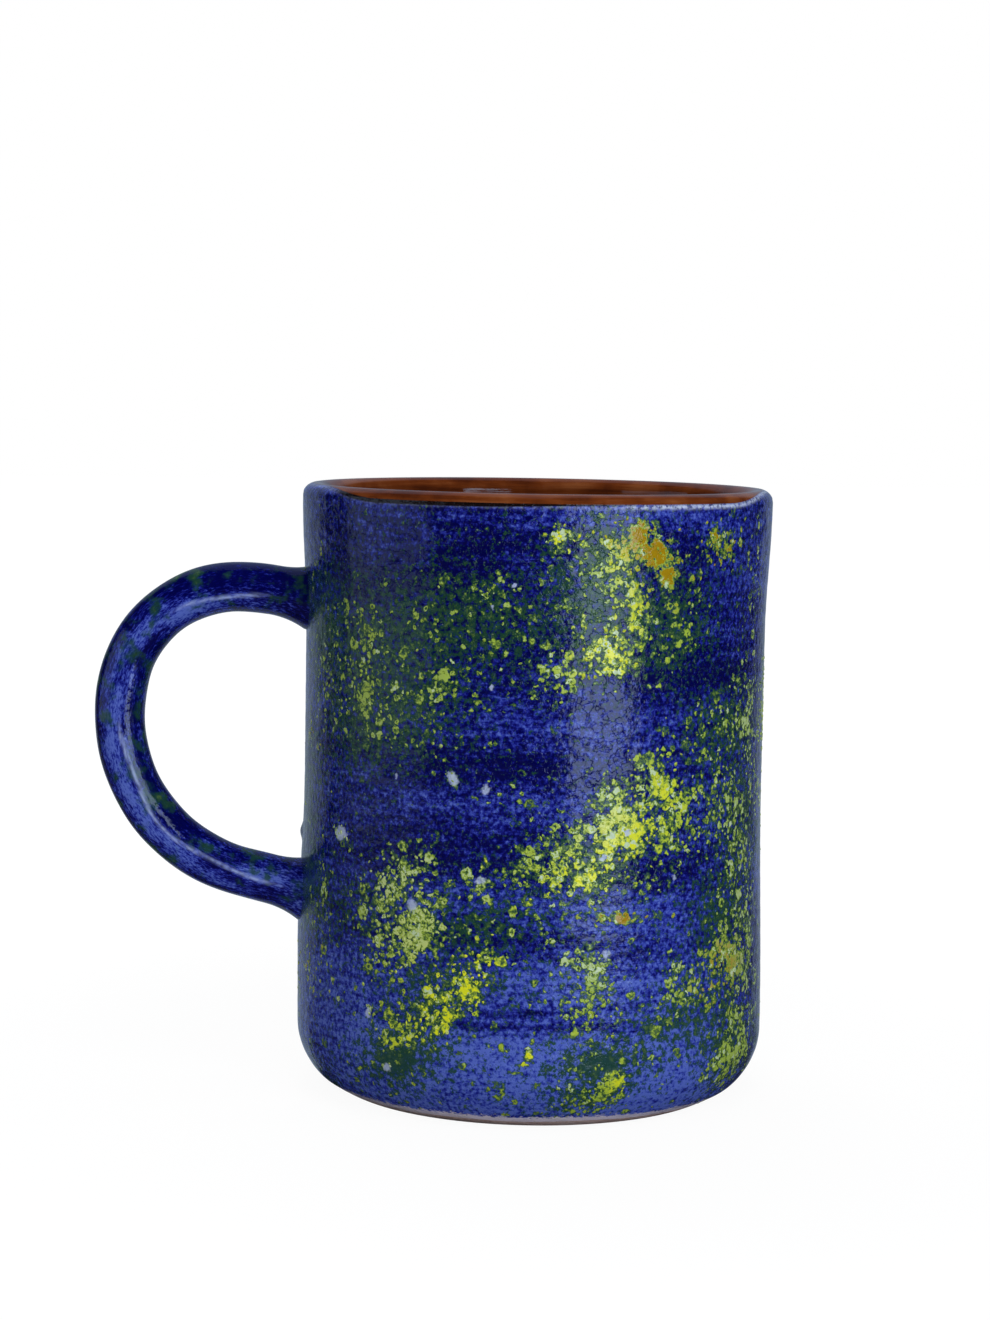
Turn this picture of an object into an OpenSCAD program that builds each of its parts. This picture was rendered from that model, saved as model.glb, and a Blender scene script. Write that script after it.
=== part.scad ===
// Glazed clay mug: a wheel-thrown cup, a coil handle joined to it with slip,
// a coloured coat outside and a clear lining inside.
// The mug stands on the XY plane, its axis is Z, and the handle points along -X.

/* [Cup] */
// Height of the clay cup from the foot to the top of the lip
cup_h = 104.5; // [96:0.5:120]
// Outside radius of the clay at the belly, where the foot curve ends
belly_r = 40.4; // [36:0.1:48]
// How far the wall draws in from the belly to the waist
waist_in = 0.8; // [0:0.1:3]
// How far the wall flares out again from the waist to the rim
rim_flare = 0.8; // [0:0.1:3]
// How far the flat foot is drawn in from the belly
foot_in = 7.4; // [5:0.1:10]
// Height at which the foot curve runs into the wall
belly_z = 11; // [9:0.5:18]
// Height at which the wall has drawn in to the waist
waist_z = 55; // [40:1:65]
// Height of the flare below the round of the lip
flare_h = 22.5; // [16:0.5:30]
// Thickness of the thrown wall, which also sets the round lip
wall_t = 4; // [3:0.1:5]
// Thickness of the floor above the foot
floor_t = 5.5; // [4.5:0.1:8]
// Radius of the curve between the floor and the wall inside
cove_r = 10; // [6:0.5:14]
// Width of the flat ring that the mug stands on
foot_w = 8; // [5:0.5:14]
// Depth of the hollow turned inside that ring
hollow_d = 1; // [0.5:0.1:2]

/* [Handle] */
// Drop from the top of the clay lip to the middle of the upper joint
handle_drop = 19.4; // [16:0.1:26]
// Diameter of the clay coil that the handle is bent from
coil_d = 8; // [6.5:0.1:9]
// Length of the straight lead from the wall to the first bend
lead_l = 5; // [3:0.1:8]
// Angle by which the lead rises as it leaves the wall
lead_rise = 10.5; // [6:0.5:18]
// Radius of the bend that levels the handle out
lead_r = 38; // [25:0.5:45]
// Radius of the crown, the tight bend at the top
crown_r = 20; // [16:0.1:22]
// Angle through which the crown turns
crown_turn = 75.5; // [65:0.5:85]
// Radius of the back, the long bend that the fingers hold
back_r = 28.5; // [24:0.1:30]
// Angle by which the tail drops on its way back to the wall
tail_drop = 14.5; // [10:0.5:22]
// How much slimmer every other stretch of the coil is
stretch_step = 0.03; // [0.02:0.01:0.1]
// How far such a stretch runs on inside its neighbours
stretch_lap = 0.3; // [0.2:0.1:0.5]

/* [Joints] */
// Thickness of the slip between each handle end and the wall
slip_t = 0.6; // [0.3:0.1:1]
// How far the slip fillet spreads over the wall around the handle
fillet_spread = 1.4; // [0.8:0.1:2.5]
// How far the slip fillet runs out along the handle
fillet_run = 4.5; // [3:0.1:7]
// Thickness of the fillet where it ends on the handle
fillet_edge = 0.2; // [0.1:0.05:0.4]

/* [Glaze] */
// Thickness of the coloured coat on the wall and the handle
coat_t = 0.4; // [0.2:0.05:0.8]
// Thickness of the clear lining in the cup and over the lip
lining_t = 0.3; // [0.2:0.05:0.6]
// Height of bare clay that the coat leaves above the foot
bare_h = 1.6; // [1:0.1:4]
// Angle up the round of the lip at which the coat meets the lining
coat_lip_turn = 20; // [5:1:45]

/* [Hidden] */
$fn = 144;
// Steps in each round stretch of a turned outline
arc_steps = 14;
// Steps in the wall's gentle curve
wall_steps = 20;

// The lip is a half round as thick as the wall
lip_r = wall_t / 2;
lip_z = cup_h - lip_r;
waist_r = belly_r - waist_in;
rim_r = waist_r + rim_flare;
flare_z = lip_z - flare_h;
hollow_r = belly_r - foot_in - foot_w;
// The foot curve is one arc from the edge of the foot to the upright wall at the belly
foot_curve_r = (foot_in * foot_in + belly_z * belly_z) / (2 * foot_in);
// The cove inside ends at this height
cove_z = floor_t + cove_r;

// Turned outlines, as [radius, height] points
function ease(t) = (1 - cos(180 * t)) / 2;
function wall_r(z) =
    z < waist_z ? belly_r + (waist_r - belly_r) * ease((z - belly_z) / (waist_z - belly_z)) :
    z < flare_z ? waist_r :
    waist_r + (rim_r - waist_r) * ease((z - flare_z) / (lip_z - flare_z));
function arc(centre, r, from, to) =
    [for (i = [0 : arc_steps])
        let (a = from + (to - from) * i / arc_steps) centre + r * [cos(a), sin(a)]];
function reversed(points) = [for (i = [len(points) - 1 : -1 : 0]) points[i]];

// Foot curve from a height on the clay up to the belly, grown outwards
function foot_arc(from_z, grow) =
    arc([belly_r - foot_curve_r, belly_z], foot_curve_r + grow,
        -asin((belly_z - from_z) / foot_curve_r), 0);
// Outside of the wall above the foot curve, grown outwards
function outer_wall(grow) =
    [for (i = [1 : wall_steps])
        let (z = belly_z + (lip_z - belly_z) * i / wall_steps) [wall_r(z) + grow, z]];
// Part of the lip's half round, from the outside (0 degrees) to the inside (180), grown outwards
function lip_arc(from, to, grow) = arc([wall_r(lip_z) - lip_r, lip_z], lip_r + grow, from, to);
// Inside of the cup from the axis to the lip, grown into the cup
function cavity(grow) = concat(
    [[0, floor_t + grow]],
    arc([wall_r(cove_z) - wall_t - cove_r, cove_z], cove_r - grow, -90, 0),
    [for (i = [1 : wall_steps])
        let (z = cove_z + (lip_z - cove_z) * i / wall_steps) [wall_r(z) - wall_t - grow, z]]);

// Everything inside the outer face of the wall, grown outwards, for trimming what seats on it
module inside_wall(grow) {
    rotate_extrude()
        polygon(concat([[0, 0]], foot_arc(0, grow), outer_wall(grow), [[0, lip_z]]));
}

// Thrown red clay: wall, floor, turned hollow and flat foot in one piece
module clay_cup() {
    color("sienna")
        rotate_extrude()
            polygon(concat(
                [[0, hollow_d], [hollow_r - hollow_d, hollow_d], [hollow_r, 0]],
                foot_arc(0, 0), outer_wall(0), lip_arc(0, 180, 0), reversed(cavity(0))));
}

// Handle centre line: distance out from the axis and height, walked from the upper joint.
// Headings are degrees above straight outwards, and every bend turns downwards.
function step_on(p, heading, length) = p + length * [cos(heading), sin(heading)];
function bend_centre(p, heading, r) = p + r * [sin(heading), -cos(heading)];
function bend_end(p, from, to, r) = bend_centre(p, from, r) + r * [-sin(to), cos(to)];

crown_heading = -crown_turn;
tail_heading = tail_drop - 180;
handle_z = cup_h - handle_drop;
upper_joint = [wall_r(handle_z), handle_z];
lead_start = step_on(upper_joint, lead_rise, lead_l);
crown_start = bend_end(lead_start, lead_rise, 0, lead_r);
back_start = bend_end(crown_start, 0, crown_heading, crown_r);
tail_start = bend_end(back_start, crown_heading, tail_heading, back_r);
tail_end_z = tail_start[1] - (tail_start[0] - waist_r) * tan(tail_drop);
tail_length = (tail_start[0] - wall_r(tail_end_z)) / cos(tail_drop);
tail_end = step_on(tail_start, tail_heading, tail_length);
// How far each end runs on into the wall before it is trimmed to its seat
seat_run = wall_t;

// Lays a shape drawn in the handle's plane, out by up, into the mug's frame
module in_handle_plane() {
    rotate([90, 0, 180]) children();
}

module straight(from, heading, length, grow) {
    translate([from[0], from[1], 0])
        rotate([0, 90, heading])
            cylinder(r = coil_d / 2 + grow, h = length);
}

module bend(from, heading, end_heading, r, grow) {
    centre = bend_centre(from, heading, r);
    translate([centre[0], centre[1], 0])
        rotate_extrude(angle = heading - end_heading, start = end_heading + 90)
            translate([r, 0]) circle(r = coil_d / 2 + grow);
}

// A bend a hair slimmer than its neighbours, which runs on a little way inside both of them
module slim_bend(from, heading, end_heading, r, grow) {
    run_on = asin(stretch_lap / r);
    back_up = bend_end(from, heading, heading + run_on, r);
    bend(back_up, heading + run_on, end_heading - run_on, r, grow - stretch_step);
}

// The whole coil along its centre line, both ends running on into the wall
module coil(grow) {
    in_handle_plane() {
        straight(step_on(upper_joint, lead_rise, -seat_run), lead_rise, lead_l + seat_run, grow);
        slim_bend(lead_start, lead_rise, 0, lead_r, grow);
        bend(crown_start, 0, crown_heading, crown_r, grow);
        slim_bend(back_start, crown_heading, tail_heading, back_r, grow);
        straight(tail_start, tail_heading, tail_length + seat_run, grow);
    }
}

// Coil of clay, trimmed at both ends to seat on the slip
module clay_handle() {
    color("peru")
        difference() {
            coil(0);
            inside_wall(slip_t);
        }
}

// Trumpet of slip round a handle end, turned about the handle's own axis:
// it spreads on the wall and thins to its edge along the handle.
module fillet_form(joint, slope, grow) {
    inner = coil_d / 2 + fillet_edge + grow;
    outer = inner + fillet_spread;
    end = fillet_run + grow;
    // The slope sets one side of the root back into the wall
    root = -outer * tan(slope) - fillet_edge;
    in_handle_plane()
        translate([joint[0], joint[1], 0])
            rotate([0, 90, slope])
                rotate_extrude()
                    polygon(concat(
                        [[0, root - seat_run], [outer, root - seat_run]],
                        [for (i = [0 : arc_steps])
                            let (t = 1 - i / arc_steps)
                            [inner + fillet_spread * t * t, end + (root - end) * t]],
                        [[0, end]]));
}

module upper_fillet(grow) {
    fillet_form(upper_joint, lead_rise, grow);
}

module lower_fillet(grow) {
    fillet_form(tail_end, tail_drop, grow);
}

// Slip that lutes the handle to the wall: a pad behind its end and a smoothed fillet round it
module upper_slip_joint() {
    color("chocolate")
        difference() {
            upper_fillet(0);
            inside_wall(0);
            clay_handle();
        }
}

module lower_slip_joint() {
    color("chocolate")
        difference() {
            lower_fillet(0);
            inside_wall(0);
            clay_handle();
        }
}

// Coloured coat on the wall, from the bare foot to the round of the lip, open where the handle joins
module wall_glaze() {
    color("mediumblue")
        difference() {
            rotate_extrude()
                polygon(concat(
                    foot_arc(bare_h, 0), outer_wall(0), lip_arc(0, coat_lip_turn, 0),
                    reversed(concat(
                        foot_arc(bare_h, coat_t), outer_wall(coat_t), lip_arc(0, coat_lip_turn, coat_t)))));
            upper_fillet(coat_t);
            lower_fillet(coat_t);
        }
}

// Coloured coat on the handle and its fillets
module handle_glaze() {
    color("darkblue")
        difference() {
            union() {
                coil(coat_t);
                upper_fillet(coat_t);
                lower_fillet(coat_t);
            }
            coil(0);
            upper_fillet(0);
            lower_fillet(0);
            inside_wall(0);
        }
}

// Clear lining over the floor, the inside of the wall and the lip
module lining_glaze() {
    color("saddlebrown")
        rotate_extrude()
            polygon(concat(
                cavity(0), lip_arc(180, coat_lip_turn, 0),
                lip_arc(coat_lip_turn, 180, lining_t), reversed(cavity(lining_t))));
}

clay_cup();
clay_handle();
upper_slip_joint();
lower_slip_joint();
wall_glaze();
handle_glaze();
lining_glaze();
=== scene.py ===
import math

import bpy
import numpy as np
from mathutils import Matrix, Vector


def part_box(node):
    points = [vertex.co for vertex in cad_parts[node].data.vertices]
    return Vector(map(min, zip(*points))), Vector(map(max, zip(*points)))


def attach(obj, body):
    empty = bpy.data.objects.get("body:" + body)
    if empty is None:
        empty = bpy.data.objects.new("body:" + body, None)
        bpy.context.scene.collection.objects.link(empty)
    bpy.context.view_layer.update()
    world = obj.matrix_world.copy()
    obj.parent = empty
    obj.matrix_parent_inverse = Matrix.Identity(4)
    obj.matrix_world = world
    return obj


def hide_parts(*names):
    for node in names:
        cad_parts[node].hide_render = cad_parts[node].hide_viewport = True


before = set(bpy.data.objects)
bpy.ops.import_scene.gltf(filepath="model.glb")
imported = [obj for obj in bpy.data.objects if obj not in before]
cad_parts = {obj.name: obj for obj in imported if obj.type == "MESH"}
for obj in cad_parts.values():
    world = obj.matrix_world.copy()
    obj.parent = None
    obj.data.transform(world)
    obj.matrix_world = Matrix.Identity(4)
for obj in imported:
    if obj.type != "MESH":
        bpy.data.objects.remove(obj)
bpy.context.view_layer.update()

# Thrown cup: one piece of red earthenware, drawn up on the wheel and cut off it with a wire.
# Only the foot ring and the turned hollow under the floor stay bare; glaze covers the rest.
MM = 0.001
CUP_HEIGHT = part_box("clay_cup")[1][2] / MM
BELLY_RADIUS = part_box("clay_cup")[1][0] / MM
WAIST_IN = 0.8
BELLY_Z = 11.0
WAIST_Z = 55.0
FLARE_HEIGHT = 22.5
WALL = 4.0
FLOOR = 5.5
COVE = 10.0
FOOT_IN = 7.4
FOOT_WIDTH = 8.0
HOLLOW_DEPTH = 1.0
FOOT_BEVEL = 0.4
FOOT_CURVE_SHARE = 0.98
AXIS_GAP = 0.5
TURN_STEPS = 256
SHARP_EDGE = math.radians(50)
LIP_RADIUS = WALL / 2
LIP_Z = CUP_HEIGHT - LIP_RADIUS
FOOT_CURVE = (FOOT_IN**2 + BELLY_Z**2) / (2 * FOOT_IN)
CLAY_SHADOW = (0.26, 0.14, 0.11)
CLAY_BODY = (0.48, 0.32, 0.27)
CLAY_DUST = (0.62, 0.50, 0.46)


def ease(share):
    return (1 - np.cos(np.pi * np.clip(share, 0, 1))) / 2


def wall_radius(z):
    """Outside radius of the clay at a height above the foot curve, in mm."""
    drawn_in = WAIST_IN * ease((z - BELLY_Z) / (WAIST_Z - BELLY_Z))
    flared = WAIST_IN * ease((z - (LIP_Z - FLARE_HEIGHT)) / FLARE_HEIGHT)
    return BELLY_RADIUS - drawn_in + flared


def arc(centre, radius, start, end, steps):
    """Points of an arc in the turning plane, as (radius, height) in mm. Angles are in degrees."""
    angles = np.radians(np.linspace(start, end, steps))
    return np.stack([centre[0] + radius * np.cos(angles), centre[1] + radius * np.sin(angles)], 1)


def level_line(inner, outer, z, steps):
    """Points of a level stretch in the turning plane."""
    return np.stack([np.linspace(inner, outer, steps), np.full(steps, float(z))], 1)


def wall_line(grow, low, high, steps):
    """Points up the outside of the wall, grown outwards."""
    z = np.linspace(low, high, steps)
    return np.stack([wall_radius(z) + grow, z], 1)


def lip_arc(start, end, grow, steps):
    """Points round the lip, grown off the clay. Angles are in degrees, from the outside over the top."""
    return arc((wall_radius(LIP_Z) - LIP_RADIUS, LIP_Z), LIP_RADIUS + grow, start, end, steps)


def cavity_line(grow, steps):
    """Inside of the cup from near the axis up to the lip, grown into the cup."""
    cove_z = FLOOR + COVE
    cove = arc((wall_radius(cove_z) - WALL - COVE, cove_z), COVE - grow, -90, 0, 24)
    floor = level_line(AXIS_GAP, cove[0, 0], FLOOR + grow, 20)[:-1]
    return np.concatenate([floor, cove, wall_line(-WALL - grow, cove_z, LIP_Z, steps)[1:]])


def turned(outline, steps):
    """Rows of points in mm: the outline turned about the axis, from the camera's side round by +X."""
    turn = np.linspace(0, 2 * np.pi, steps, endpoint=False)
    radius = outline[:, 0, None]
    z = outline[:, 1, None]
    return np.stack([radius * np.sin(turn), -radius * np.cos(turn), z + 0 * turn], -1)


def skin(name, rows, ring):
    """A mesh over rows of points. A ring's last row joins its first; other ends close on the axis."""
    count, steps = rows.shape[:2]
    points = rows.reshape(-1, 3) * MM
    row, column = np.meshgrid(np.arange(count if ring else count - 1), np.arange(steps), indexing="ij")
    here = row * steps
    after = (row + 1) % count * steps
    right = (column + 1) % steps
    faces = np.stack([here + column, here + right, after + right, after + column], -1)
    faces = faces.reshape(-1, 4).tolist()
    if not ring:
        points = np.concatenate([points, rows[[0, -1]].mean(1) * MM])
        low_pole = count * steps
        high_pole = low_pole + 1
        last = low_pole - steps
        faces += [[low_pole, (i + 1) % steps, i] for i in range(steps)]
        faces += [[high_pole, last + i, last + (i + 1) % steps] for i in range(steps)]
    mesh = bpy.data.meshes.new(name)
    mesh.from_pydata(points.tolist(), [], faces)
    mesh.shade_smooth()
    mesh.set_sharp_from_angle(angle=SHARP_EDGE)
    piece = bpy.data.objects.new(name, mesh)
    bpy.context.collection.objects.link(piece)
    return piece


def node(tree, kind, *values, settings=None, **named):
    """Adds a node. Values fill its inputs in order, or by name, and are numbers or sockets to link from."""
    new = tree.nodes.new(kind)
    for key, value in (settings or {}).items():
        setattr(new, key, value)
    for key, value in [*enumerate(values), *((name.replace("_", " "), v) for name, v in named.items())]:
        if isinstance(value, bpy.types.NodeSocket):
            tree.links.new(value, new.inputs[key])
        elif value is not None:
            new.inputs[key].default_value = value
    return new


def maths(tree, operation, *values):
    return node(tree, "ShaderNodeMath", *values, settings={"operation": operation}).outputs[0]


def stretched(tree, vector, scale):
    return node(tree, "ShaderNodeVectorMath", vector, scale, settings={"operation": "MULTIPLY"}).outputs[0]


def noise(tree, vector, scale, detail=3.0, roughness=0.5):
    made = node(tree, "ShaderNodeTexNoise", Vector=vector, Scale=scale, Detail=detail, Roughness=roughness)
    return made.outputs["Fac"]


def step_between(tree, value, low, high, start=0.0, end=1.0):
    smooth = {"interpolation_type": "SMOOTHSTEP"}
    return node(tree, "ShaderNodeMapRange", value, low, high, start, end, settings=smooth).outputs[0]


def laid_over(tree, share, under, over):
    """Colour under, covered by colour over as far as share says."""
    mix = node(tree, "ShaderNodeMix", settings={"data_type": "RGBA"})
    for socket, value in ((mix.inputs[0], share), (mix.inputs[6], under), (mix.inputs[7], over)):
        if isinstance(value, bpy.types.NodeSocket):
            tree.links.new(value, socket)
        else:
            socket.default_value = value if isinstance(value, float) else (*value, 1.0)
    return mix.outputs[2]


def colour_ramp(tree, value, *stops):
    made = node(tree, "ShaderNodeValToRGB", value)
    while len(made.color_ramp.elements) < len(stops):
        made.color_ramp.elements.new(1.0)
    for element, (position, colour) in zip(made.color_ramp.elements, stops):
        element.position = position
        element.color = (*colour, 1.0)
    return made.outputs[0]


def new_material(name):
    """A material with its shader and the piece's own coordinates in mm."""
    material = bpy.data.materials.new(name)
    material.use_nodes = True
    tree = material.node_tree
    tree.nodes.clear()
    shader = node(tree, "ShaderNodeBsdfPrincipled")
    tree.links.new(shader.outputs[0], node(tree, "ShaderNodeOutputMaterial").inputs[0])
    place = node(tree, "ShaderNodeTexCoord").outputs["Object"]
    return material, tree, shader, stretched(tree, place, (1 / MM, 1 / MM, 1 / MM))


red_clay, tree, shader, place = new_material("red_clay")
grain = noise(tree, place, 1.6, 5.0, 0.65)
cloud = noise(tree, place, 0.12)
tone = maths(tree, "MULTIPLY_ADD", grain, 0.6, maths(tree, "MULTIPLY", cloud, 0.4))
tree.links.new(
    colour_ramp(tree, tone, (0.3, CLAY_SHADOW), (0.5, CLAY_BODY), (0.7, CLAY_DUST)),
    shader.inputs["Base Color"],
)
shader.inputs["Roughness"].default_value = 0.85
rough_bump = node(tree, "ShaderNodeBump", Strength=0.5, Distance=0.15 * MM, Height=grain)
tree.links.new(rough_bump.outputs[0], shader.inputs["Normal"])

foot_radius = BELLY_RADIUS - FOOT_IN
hollow_radius = foot_radius - FOOT_WIDTH
foot_start = -math.degrees(math.asin(BELLY_Z / FOOT_CURVE))
cup_outline = np.concatenate([
    level_line(AXIS_GAP, hollow_radius - HOLLOW_DEPTH, HOLLOW_DEPTH, 40),
    level_line(hollow_radius, foot_radius - FOOT_BEVEL, 0, 14),
    arc((BELLY_RADIUS - FOOT_CURVE, BELLY_Z), FOOT_CURVE, foot_start * FOOT_CURVE_SHARE, 0, 24),
    wall_line(0, BELLY_Z, LIP_Z, 30)[1:],
    lip_arc(0, 180, 0, 14)[1:],
    cavity_line(0, 24)[::-1][1:],
])
cup = skin("thrown_cup", turned(cup_outline, TURN_STEPS), ring=False)
cup.data.materials.append(red_clay)
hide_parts("clay_cup")
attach(cup, "root")

# Handle coil and its two slip joints: a rolled coil of the same clay, stuck on with wet clay.
# They lie under the glaze, so the solids stay as they are and take the clay's look.
for covered in ("clay_handle", "upper_slip_joint", "lower_slip_joint"):
    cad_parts[covered].data.materials.clear()
    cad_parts[covered].data.materials.append(red_clay)

# Clear lining: a glossy coat that turns the red clay inside to a deep brown.
# It was poured in and wiped over the lip, where it meets the blue.
LINING = 0.29
# The hidden side of the lining lies in the clay
BEDDED = -0.2
COAT_LIP_TURN = 20.0
LINING_DEEP = (0.060, 0.012, 0.003)
LINING_BODY = (0.118, 0.026, 0.005)
LINING_THIN = (0.185, 0.055, 0.016)

clear_lining, tree, shader, place = new_material("clear_lining")
rings = noise(tree, stretched(tree, place, (0.05, 0.05, 0.9)), 1.0, 4.0, 0.6)
cloud = noise(tree, place, 0.15, 4.0)
tone = maths(tree, "MULTIPLY_ADD", rings, 0.5, maths(tree, "MULTIPLY", cloud, 0.5))
tree.links.new(
    colour_ramp(tree, tone, (0.38, LINING_DEEP), (0.5, LINING_BODY), (0.62, LINING_THIN)),
    shader.inputs["Base Color"],
)
shader.inputs["Roughness"].default_value = 0.035
ring_bump = node(tree, "ShaderNodeBump", Strength=0.3, Distance=0.2 * MM, Height=rings)
tree.links.new(ring_bump.outputs[0], shader.inputs["Normal"])

lining_outline = np.concatenate([
    cavity_line(BEDDED, 90),
    lip_arc(180, COAT_LIP_TURN, BEDDED, 24)[1:],
    lip_arc(COAT_LIP_TURN, 180, LINING, 24),
    cavity_line(LINING, 90)[::-1][1:],
])
lining = skin("clear_lining", turned(lining_outline, TURN_STEPS), ring=False)
lining.data.materials.append(clear_lining)
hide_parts("lining_glaze")
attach(lining, "root")

# Coloured coat on the wall: blue glaze brushed on while the cup turned, then dabbed with a sponge
# in yellow and white. Where the yellow lies thin over the blue it fires to green.
COAT = 0.25
COAT_LAP = 0.04
COAT_SIDE_TURN = 75.0
COAT_BEDDED = -0.1
BARE_FOOT = 1.0
YELLOW = (0.72, 0.70, 0.010)
OCHRE = (0.31, 0.18, 0.002)
LIME = (0.30, 0.40, 0.040)
PALE = (0.46, 0.55, 0.34)
LEAF_GREEN = (0.075, 0.135, 0.030)
DARK_GREEN = (0.010, 0.044, 0.020)
PALE_BLUE = (0.33, 0.40, 0.66)
# White of the paint drops, also used for three painted glints
DROP_AND_GLINT_WHITE = (0.40, 0.45, 0.64)
# Painted shade and painted highlight for the two lines along the coat's upper edge
RIM_SHADE_BLACK = (0.006, 0.003, 0.003)
RIM_HIGHLIGHT_WHITE = (0.52, 0.58, 0.74)
FOOT_PINK = (0.85, 0.74, 0.78)
BLUE_BLACK = (0.0003, 0.0006, 0.050)
BLUE_DEEP = (0.002, 0.003, 0.110)
BLUE_BODY = (0.010, 0.015, 0.200)
BLUE_LIGHT = (0.028, 0.045, 0.310)
BLUE_THIN = (0.082, 0.125, 0.450)
# Sponge dabs and brush strokes on the front, each as the turn from the front in degrees, the height,
# half the width and half the height in mm, the tilt in degrees and the strength.
YELLOW_DABS = [
    (0, 98, 4, 2, 0, 0.9), (12, 80, 5, 4.5, 30, 1), (23, 54, 5, 4, 35, 1), (15, 49, 6, 4, 35, 1),
    (6, 43, 7, 2.5, 10, 0.95), (-18, 27, 4, 3, 50, 1), (-25, 22, 6, 4, 35, 1),
    (-31, 18, 5, 3, 30, 1), (-17, 45, 1, 1, 0, 0.9), (-7, 39, 1, 1, 0, 0.9),
    (-6, 13.5, 1.5, 1.5, 0, 0.9), (16, 8.5, 1.5, 1.5, 0, 0.9), (18, 88, 1.2, 6, 0, 0.5),
    (14, 95.5, 2.2, 3.6, 0, 0.7), (-37, 34, 5, 8, 0, 0.3), (10, 17, 2, 2, 0, 0.6),
]
OCHRE_DABS = [
    (18.5, 98.5, 3, 2.4, -20, 1), (23, 96, 2, 2.2, -50, 1), (26.5, 92, 2.2, 2.4, 0, 1),
    (15, 36, 5, 1.5, 0, 0.8), (42, 96, 4, 3, 0, 0.6), (-74, 22, 3, 5, 0, 0.6),
    (46, 24, 4, 3, 40, 0.6),
]
LIME_DABS = [
    (-17, 89, 3, 1.5, 0, 0.8), (-29, 74, 4, 2.5, 20, 0.7), (-2, 75, 6, 2.5, 10, 0.85),
    (-50, 82, 4, 5, 0, 0.55), (-53, 70, 8, 4, 0, 0.6), (19, 87, 2.5, 7, 0, 0.4),
    (31, 84, 8, 6, 30, 0.6), (24, 59, 7, 4, 20, 0.85), (12, 54, 5, 4, 30, 0.8),
    (-4, 46, 6, 4, 30, 0.8), (-43, 30, 6, 5.5, 0, 0.85), (-40, 16, 4, 4, 0, 0.75),
    (9, 25, 3, 5, 0, 0.8), (4, 20, 4, 3, 0, 0.6), (8, 6, 8, 3, 20, 0.9), (50, 28, 7, 3, 0, 0.65),
    (33, 22, 8, 4, 15, 0.6), (47, 9, 5, 5, 30, 0.8), (57, 12, 6, 9, 20, 0.6),
    (34, 51, 9, 5, 15, 0.65), (-70, 34, 5, 9, 0, 0.45), (44, 66, 8, 6, 0, 0.5),
    (9, 93, 6, 7, 0, 0.45), (12, 95, 3, 5, 0, 0.4), (40, 97, 9, 4, 0, 0.5),
    (-20, 84, 18, 9, 0, 0.3), (-38, 66, 11, 7, 0, 0.22), (-52, 76, 13, 12, 0, 0.3),
    (58, 44, 8, 26, 0, 0.4), (12, 12, 12, 8, 0, 0.3), (-36, 34, 10, 13, 0, 0.3),
    (28, 48, 18, 8, 20, 0.3), (0, 36, 24, 5, 0, 0.2),
]
PALE_DABS = [
    (-37, 40, 6.5, 6.5, 0, 0.85), (-36, 33, 5, 4, 0, 0.8), (-16, 42, 4, 2, 0, 0.75),
    (8, 29, 5, 2.5, 0, 0.8), (-25, 58.5, 1, 1.5, 25, 0.9), (-59, 47, 2, 1.5, 0, 0.95),
    (58, 68, 5, 8, 0, 0.55), (-47, 18, 1, 1.5, 0, 0.9), (-41, 9.5, 1, 1, 0, 0.9),
    (31, 27, 3, 3, 0, 0.6), (12, 52, 6, 3, 30, 0.5), (-12, 57, 8, 5, 0, 0.25),
    (-36, 66, 10, 7, 0, 0.18), (-12, 84, 14, 8, 0, 0.15), (52, 40, 7, 14, 0, 0.38),
    (60, 25, 6, 12, 0, 0.4), (60, 90, 5, 8, 0, 0.4),
]
GREEN_DABS = [
    (-20, 85, 15, 9, 0, 0.75), (-42, 78, 11, 10, 0, 0.75), (-55, 65, 9, 8, 0, 0.65),
    (44, 66, 9, 7, 0, 0.75), (57, 50, 8, 14, 0, 0.75), (-38, 11, 10, 6, 10, 1),
    (11, 12, 9, 4.5, 0, 1), (30, 18, 10, 4, 15, 0.85), (45, 34, 9, 8, 0, 0.85),
    (30, 83, 10, 7, 30, 0.8), (48, 13, 8, 8, 25, 0.85), (8, 88, 8, 9, 0, 0.7),
    (-65, 82, 8, 10, 0, 0.6), (10, 46, 13, 6, 25, 0.75), (-29, 23, 9, 6, 35, 0.75),
    (-16, 35, 10, 4, 0, 0.7), (-78, 50, 8, 22, 0, 0.6), (-50, 35, 10, 8, 0, 0.5),
    (6, 6, 9, 3, 10, 0.8), (0, 25, 14, 4, 0, 0.4), (-38, 68, 11, 8, 0, 0.7), (11, 96, 7, 7, 0, 0.8),
]
WHITE_DROPS_AND_GLINTS = [
    (-59, 47, 1.8, 1.3, 0, 1), (-25, 58.5, 0.9, 1.6, 25, 1), (-17, 57, 0.9, 1.1, 0, 0.9),
    (-47, 18, 0.8, 1.2, 0, 0.9), (-41, 9.5, 0.9, 0.9, 0, 0.9), (-18, 42, 1.4, 0.9, 0, 0.8),
    (17, 50, 0.9, 0.8, 0, 0.9), (11, 46, 0.9, 0.8, 0, 0.8), (-35, 37, 1.2, 1.5, 0, 0.8),
    (12, 30, 1.2, 1, 0, 0.8), (-40, 58, 0.7, 1, 0, 0.7), (30, 42, 0.8, 0.8, 0, 0.7),
    # The last three are painted glints: white highlights where light catches bumps of the glaze
    (-11, 90, 0.5, 0.4, 30, 1), (-16, 86.5, 0.7, 0.35, -40, 1), (-16, 73.5, 0.5, 0.6, 0, 1),
]
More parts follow.
